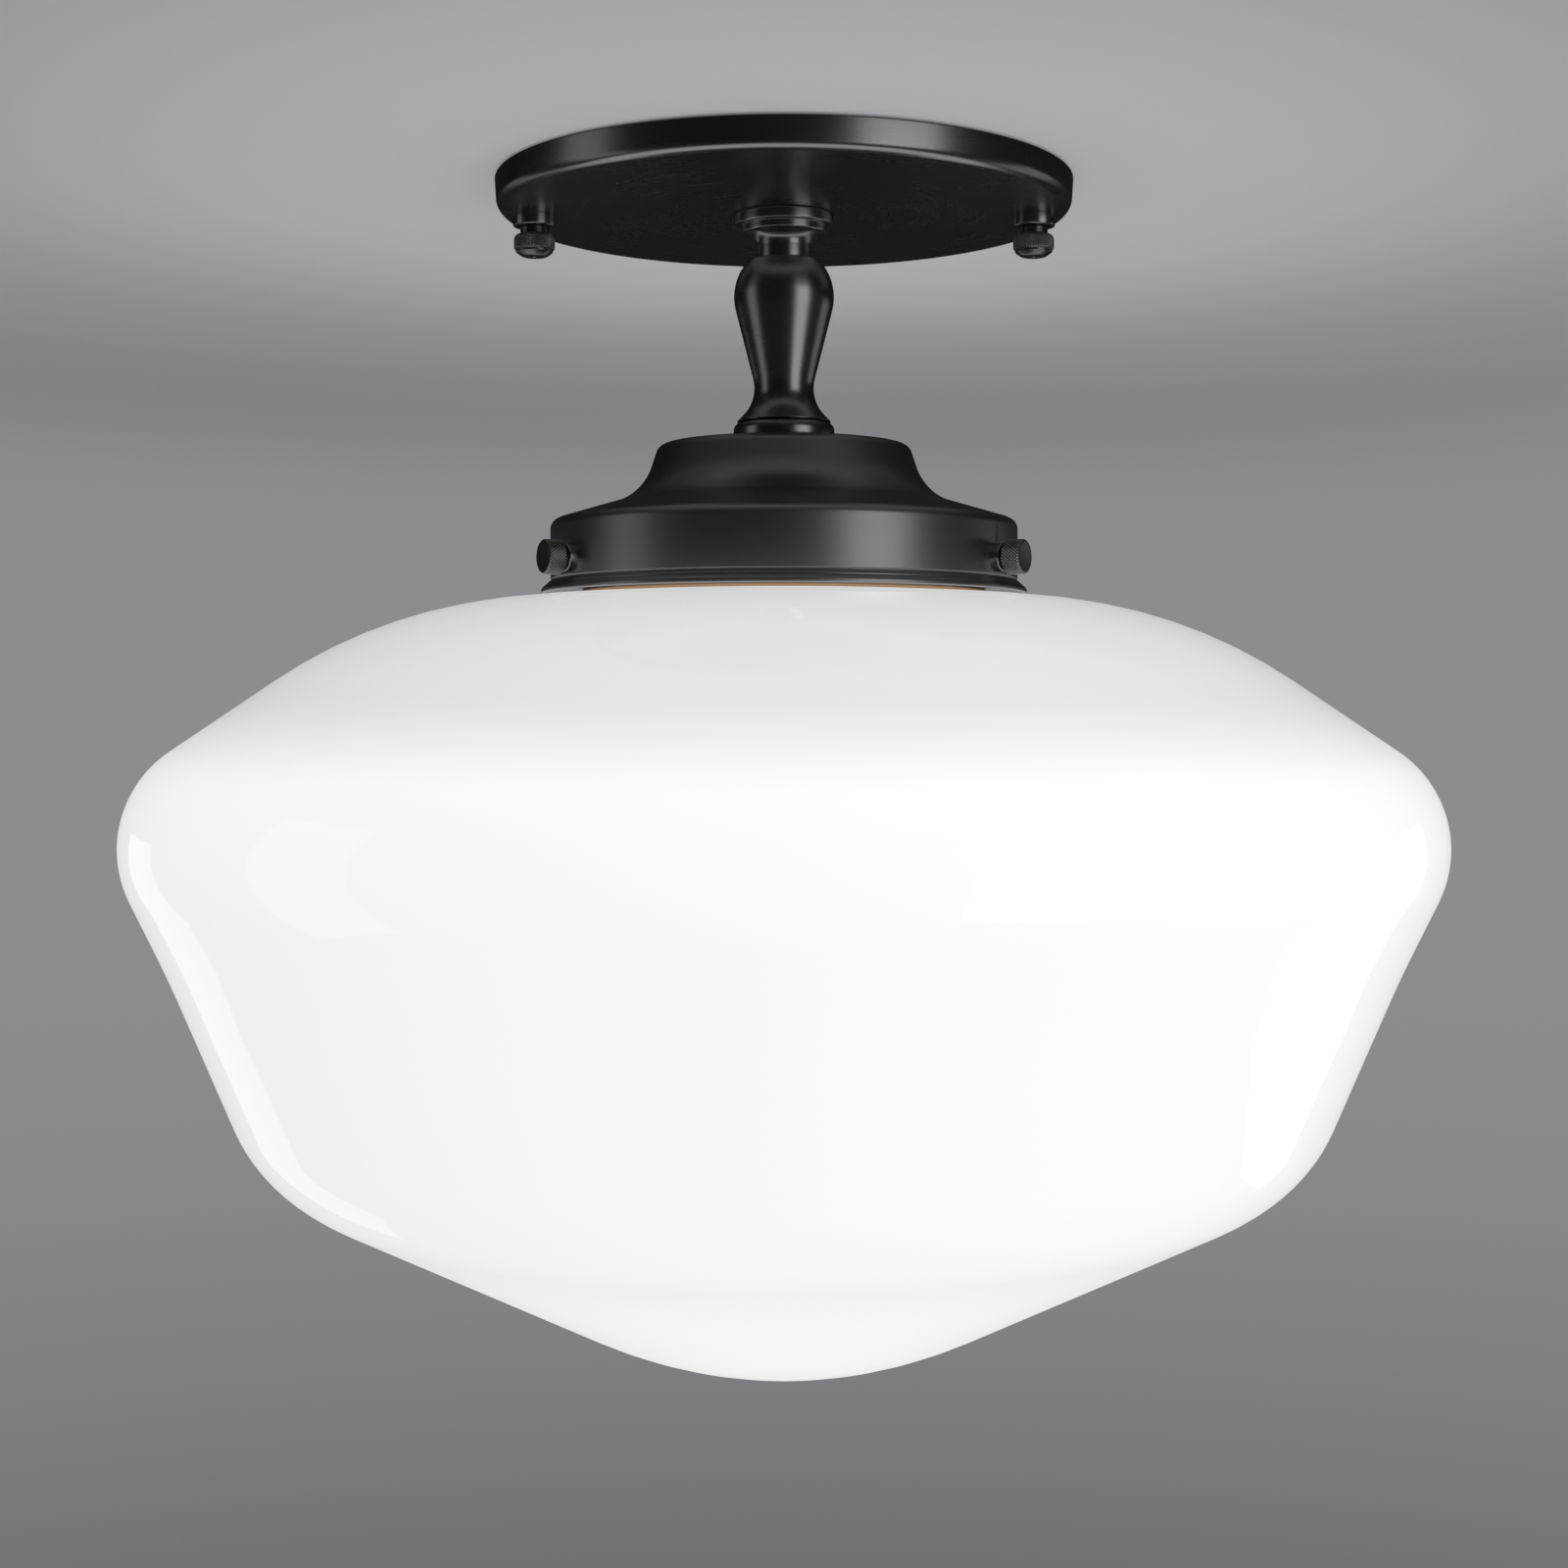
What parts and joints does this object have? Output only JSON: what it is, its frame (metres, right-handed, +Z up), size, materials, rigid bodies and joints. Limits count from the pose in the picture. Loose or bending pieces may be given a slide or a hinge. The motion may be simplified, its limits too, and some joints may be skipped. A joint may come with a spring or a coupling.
{
  "type": "ceiling light",
  "caption": "Semi-flush ceiling light: round canopy, turned vase stem, stepped shade holder with knurled screws and a blown opal schoolhouse globe over a screw-base bulb.",
  "frame": {"origin": "on the lamp's axis in the ceiling plane, at the middle of the crossbar's top face", "axes": "+Z up into the ceiling, X through the canopy's two thumb nuts, -Y towards the viewer"},
  "size_m": [0.3044, 0.3044, 0.2816],
  "materials": {
    "satin_black": "satin",
    "knurled_black": "satin, knurled, rubbed on the crests",
    "zinc_steel": "zinc plated",
    "green_screw": "green dye",
    "opal_glass": "glossy opal white",
    "porcelain": "glazed",
    "brass": "plain",
    "tin": "soldered",
    "aluminium": "rolled",
    "black_glass": "glossy",
    "frosted_glass": "frosted",
    "nylon": "plain"
  },
  "bodies": {
    "fixture": {"canopy": "satin_black", "crossbar": "zinc_steel", "crossbar_studs": "zinc_steel", "stud_lock_nuts": "zinc_steel", "ground_screw": "green_screw", "threaded_nipple": "zinc_steel", "canopy_lock_washer": "zinc_steel", "canopy_hex_nut": "zinc_steel", "stem_collar": "satin_black", "stem_vase": "satin_black", "stem_base_ring": "satin_black", "fitter": "satin_black", "fitter_lock_washer": "zinc_steel", "fitter_hex_nut": "zinc_steel", "shade_screw_bushings": "satin_black", "globe": "opal_glass", "socket_cap": "zinc_steel", "socket_body": "porcelain", "socket_terminal_screws": "brass", "socket_screw_shell": "brass", "socket_centre_contact": "brass"},
    "shade_screw_tip_1": {"shade_screw_tip_1": "nylon"},
    "shade_screw_1": {"shade_screw_1": "knurled_black"},
    "shade_screw_tip_2": {"shade_screw_tip_2": "nylon"},
    "shade_screw_2": {"shade_screw_2": "knurled_black"},
    "shade_screw_tip_3": {"shade_screw_tip_3": "nylon"},
    "shade_screw_3": {"shade_screw_3": "knurled_black"},
    "canopy_collar_left": {"canopy_collar_left": "satin_black"},
    "canopy_thumb_nut_left": {"canopy_thumb_nut_left": "knurled_black"},
    "canopy_collar_right": {"canopy_collar_right": "satin_black"},
    "canopy_thumb_nut_right": {"canopy_thumb_nut_right": "knurled_black"},
    "bulb_foot": {"bulb_tip_contact": "tin", "bulb_base_insulator": "black_glass"},
    "bulb": {"bulb_base_shell": "aluminium", "bulb_envelope": "frosted_glass"}
  },
  "joints": [
    {"name": "shade_screw_1_travel", "type": "slide", "parent": "fixture", "child": "shade_screw_tip_1", "axis": [0.866, -0.5, 0], "range_m": [0, 0.00476]},
    {"name": "shade_screw_1_turn", "type": "hinge", "parent": "shade_screw_tip_1", "child": "shade_screw_1", "pos_m": [0.05196, -0.03, -0.089], "axis": [0.866, -0.5, 0], "range_deg": [0, 2161.08]},
    {"name": "shade_screw_2_travel", "type": "slide", "parent": "fixture", "child": "shade_screw_tip_2", "axis": [-0.866, -0.5, 0], "range_m": [0, 0.00476]},
    {"name": "shade_screw_2_turn", "type": "hinge", "parent": "shade_screw_tip_2", "child": "shade_screw_2", "pos_m": [-0.05196, -0.03, -0.089], "axis": [-0.866, -0.5, 0], "range_deg": [0, 2161.08]},
    {"name": "shade_screw_3_travel", "type": "slide", "parent": "fixture", "child": "shade_screw_tip_3", "axis": [0, 1, 0], "range_m": [0, 0.00476]},
    {"name": "shade_screw_3_turn", "type": "hinge", "parent": "shade_screw_tip_3", "child": "shade_screw_3", "pos_m": [0, 0.06, -0.089], "axis": [0, 1, 0], "range_deg": [0, 2161.08]},
    {"name": "canopy_thumb_nut_left_travel", "type": "slide", "parent": "fixture", "child": "canopy_collar_left", "axis": [0, 0, -1], "range_m": [0, 0.00357]},
    {"name": "canopy_thumb_nut_left_turn", "type": "hinge", "parent": "canopy_collar_left", "child": "canopy_thumb_nut_left", "pos_m": [-0.0587, 0, -0.013], "axis": [0, 0, -1], "range_deg": [0, 1620.81]},
    {"name": "canopy_thumb_nut_right_travel", "type": "slide", "parent": "fixture", "child": "canopy_collar_right", "axis": [0, 0, -1], "range_m": [0, 0.00357]},
    {"name": "canopy_thumb_nut_right_turn", "type": "hinge", "parent": "canopy_collar_right", "child": "canopy_thumb_nut_right", "pos_m": [0.0587, 0, -0.013], "axis": [0, 0, -1], "range_deg": [0, 1620.81]},
    {"name": "bulb_travel", "type": "slide", "parent": "fixture", "child": "bulb_foot", "axis": [0, 0, -1], "range_m": [0, 0.02177]},
    {"name": "bulb_turn", "type": "hinge", "parent": "bulb_foot", "child": "bulb", "pos_m": [0, 0, -0.12], "axis": [0, 0, -1], "range_deg": [0, 2161.08]}
  ],
  "couplings": [
    {"joint": "shade_screw_1_turn", "follows": "shade_screw_1_travel", "rad_per_m": 7915.8},
    {"joint": "shade_screw_2_turn", "follows": "shade_screw_2_travel", "rad_per_m": 7915.8},
    {"joint": "shade_screw_3_turn", "follows": "shade_screw_3_travel", "rad_per_m": 7915.8},
    {"joint": "canopy_thumb_nut_left_turn", "follows": "canopy_thumb_nut_left_travel", "rad_per_m": 7915.8},
    {"joint": "canopy_thumb_nut_right_turn", "follows": "canopy_thumb_nut_right_travel", "rad_per_m": 7915.8},
    {"joint": "bulb_turn", "follows": "bulb_travel", "rad_per_m": 1731.6}
  ]
}
